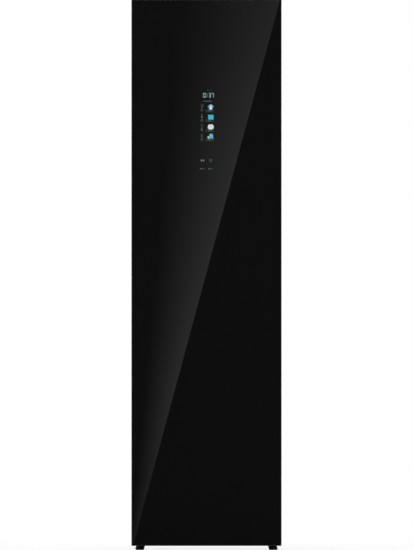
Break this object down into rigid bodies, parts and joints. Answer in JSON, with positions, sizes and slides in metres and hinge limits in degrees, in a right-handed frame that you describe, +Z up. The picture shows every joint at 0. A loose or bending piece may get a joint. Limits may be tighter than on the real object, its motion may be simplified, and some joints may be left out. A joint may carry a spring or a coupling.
{
  "type": "clothes care steam cabinet",
  "caption": "Tall free-standing cabinet that steams, shakes and dries clothes, with a full-height black glass door over a hanging chamber and water tanks in its base.",
  "frame": {"origin": "on the floor, under the middle of the closed cabinet's bounding box", "axes": "+X to the right seen from the front, +Y to the back, +Z up; the door's glass faces -Y"},
  "size_m": [0.504, 0.6, 1.85],
  "materials": {
    "glass_black": "gloss black back-printed toughened glass",
    "edge_black": "satin black moulded plastic",
    "liner_pale": "pale grey satin moulding",
    "foam": "closed-cell foam",
    "display_light": "display housing with lit segments",
    "gasket_grey": "soft grey vinyl",
    "block_grey": "hard grey plastic",
    "pad_cloth": "padded grey cloth",
    "press_white": "white satin plastic",
    "trim_grey": "mid grey plastic",
    "case_black": "black powder coat, fine texture",
    "front_grey": "grey painted steel",
    "cover_black": "fine-grained black plastic",
    "zinc_steel": "zinc-coated sheet steel",
    "felt": "grey needled felt",
    "screw_steel": "blackened steel",
    "hinge_steel": "black coated steel",
    "foot_black": "black plastic",
    "lamp_glow": "frosted lamp lens",
    "panel_grey": "grey satin moulding",
    "shelf_grey": "satin grey moulded plastic",
    "mesh_steel": "fine steel mesh",
    "bay_dark": "dark grey moulding",
    "rail_satin": "satin anodised aluminium",
    "slider_white": "white acetal",
    "rod_steel": "ground steel",
    "bush_bronze": "sintered bronze",
    "pulley_black": "black moulded plastic",
    "motor_steel": "drawn steel can",
    "belt_rubber": "toothless rubber belt",
    "box_white": "off-white plastic",
    "tank_clear": "clear smoky plastic",
    "lid_grey": "grey plastic",
    "boiler_cast": "cast aluminium",
    "hose_rubber": "silicone hose",
    "duct_grey": "dark grey moulding",
    "fin_aluminium": "bare aluminium fins",
    "can_black": "black enamel",
    "copper": "copper pipe"
  },
  "bodies": {
    "cabinet": {"outer_case": "case_black", "front_frame": "front_grey", "back_panel": "case_black", "top_cover": "cover_black", "base_pan": "zinc_steel", "felt_sheets": "felt", "rear_screws": "screw_steel", "door_hinges": "hinge_steel", "rear_feet": "foot_black", "mains_inlet": "edge_black", "inner_liner": "liner_pale", "floor_tray": "liner_pale", "led_lamp": "lamp_glow", "air_panel": "panel_grey", "steam_outlet": "trim_grey", "filter_well": "bay_dark", "guide_rods": "rod_steel", "drive_plate": "zinc_steel", "crank_bush": "bush_bronze", "rail_motor": "motor_steel", "drive_belt": "belt_rubber", "rail_hood": "panel_grey", "control_box": "box_white", "tank_bay": "bay_dark", "steam_boiler": "boiler_cast", "steam_hose": "hose_rubber", "water_pumps": "pulley_black", "heat_duct": "duct_grey", "fan_housing": "duct_grey", "fan_motor": "motor_steel", "compressor": "can_black", "refrigerant_pipes": "copper", "evaporator": "fin_aluminium", "condenser": "fin_aluminium"},
    "door": {"door_glass": "glass_black", "door_frame": "edge_black", "door_liner": "liner_pale", "door_foam": "foam", "display_module": "display_light", "door_gasket": "gasket_grey", "hinge_blocks": "block_grey", "press_pad": "pad_cloth", "press_brackets": "press_white", "trouser_hook": "trim_grey", "scent_box": "trim_grey"},
    "press": {"press_plate": "press_white"},
    "rail": {"hanger_rail": "rail_satin", "rail_slider": "slider_white"},
    "crank": {"crank_pulley": "pulley_black"},
    "motor_wheel": {"motor_pulley": "pulley_black"},
    "fan": {"fan_wheel": "pulley_black"},
    "filter": {"filter_frame": "trim_grey", "filter_mesh": "mesh_steel"},
    "shelf": {"shelf_rack": "shelf_grey"},
    "supply": {"supply_tank": "tank_clear", "supply_lid": "lid_grey"},
    "drain": {"drain_tank": "tank_clear", "drain_lid": "lid_grey"},
    "left_foot": {"foot_left": "foot_black"},
    "right_foot": {"foot_right": "foot_black"}
  },
  "joints": [
    {"name": "door_hinge", "type": "hinge", "parent": "cabinet", "child": "door", "pos_m": [0.234, -0.276, 0.93], "axis": [0, 0, 1], "range_deg": [0, 110]},
    {"name": "press_hinge", "type": "hinge", "parent": "door", "child": "press", "pos_m": [0.13, -0.226, 0.97], "axis": [0, 0, -1], "range_deg": [0, 40]},
    {"name": "rail_shake", "type": "slide", "parent": "cabinet", "child": "rail", "axis": [1, 0, 0], "range_m": [-0.012, 0.012]},
    {"name": "crank_spin", "type": "hinge", "parent": "cabinet", "child": "crank", "pos_m": [0, 0, 1.78], "axis": [0, 0, 1], "continuous": true},
    {"name": "motor_spin", "type": "hinge", "parent": "cabinet", "child": "motor_wheel", "pos_m": [0.14, 0, 1.78], "axis": [0, 0, 1], "continuous": true},
    {"name": "fan_spin", "type": "hinge", "parent": "cabinet", "child": "fan", "pos_m": [-0.04, 0.25, 0.3], "axis": [0, 1, 0], "continuous": true},
    {"name": "filter_lift", "type": "slide", "parent": "cabinet", "child": "filter", "axis": [0, 0, 1], "range_m": [0, 0.105]},
    {"name": "shelf_lift", "type": "slide", "parent": "cabinet", "child": "shelf", "axis": [0, 0, 1], "range_m": [0, 0.02]},
    {"name": "supply_slide", "type": "slide", "parent": "cabinet", "child": "supply", "axis": [0, -1, 0], "range_m": [0, 0.095]},
    {"name": "drain_slide", "type": "slide", "parent": "cabinet", "child": "drain", "axis": [0, -1, 0], "range_m": [0, 0.095]},
    {"name": "foot_left_screw", "type": "slide", "parent": "cabinet", "child": "left_foot", "axis": [0, 0, -1], "range_m": [0, 0.012]},
    {"name": "foot_right_screw", "type": "slide", "parent": "cabinet", "child": "right_foot", "axis": [0, 0, -1], "range_m": [0, 0.012]}
  ],
  "couplings": [
    {"joint": "motor_spin", "follows": "crank_spin", "ratio": 3},
    {"joint": "supply_slide", "follows": "door_hinge", "m_per_rad": 0.048},
    {"joint": "drain_slide", "follows": "door_hinge", "m_per_rad": 0.048}
  ]
}
